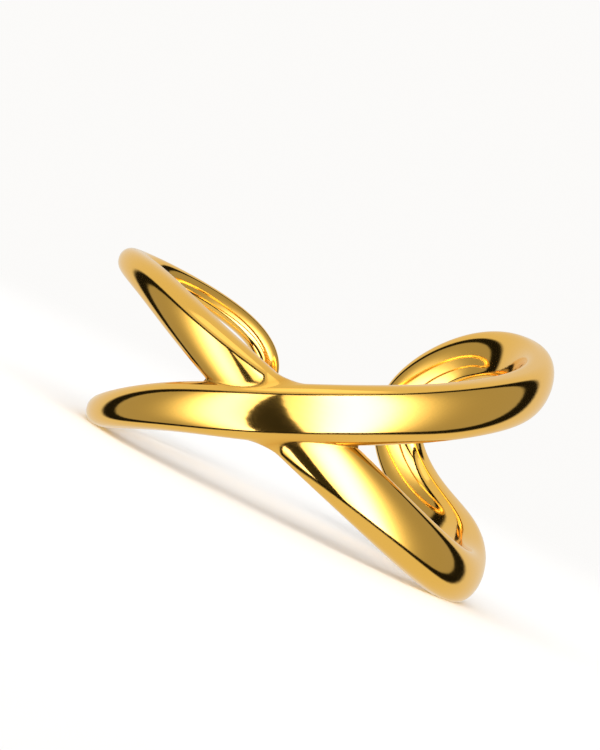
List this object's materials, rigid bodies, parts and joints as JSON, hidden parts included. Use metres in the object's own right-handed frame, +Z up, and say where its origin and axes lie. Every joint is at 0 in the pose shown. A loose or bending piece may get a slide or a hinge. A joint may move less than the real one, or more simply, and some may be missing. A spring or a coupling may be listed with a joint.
{
  "type": "ear cuff",
  "caption": "Open ear cuff of two slim polished bands that cross at the front and join in rounded loops either side of the opening.",
  "frame": {"origin": "middle of the footprint, on the surface that the cuff lies on", "axes": "+Z up, near the ring's own axis; -Y is the side with the crossing; +X is the side with the broader loop"},
  "size_m": [0.0134, 0.0122, 0.0076],
  "materials": {
    "polished_gold": "mirror polished gold plating"
  },
  "bodies": {
    "root": {"crossover_cuff": "polished_gold"}
  },
  "joints": []
}
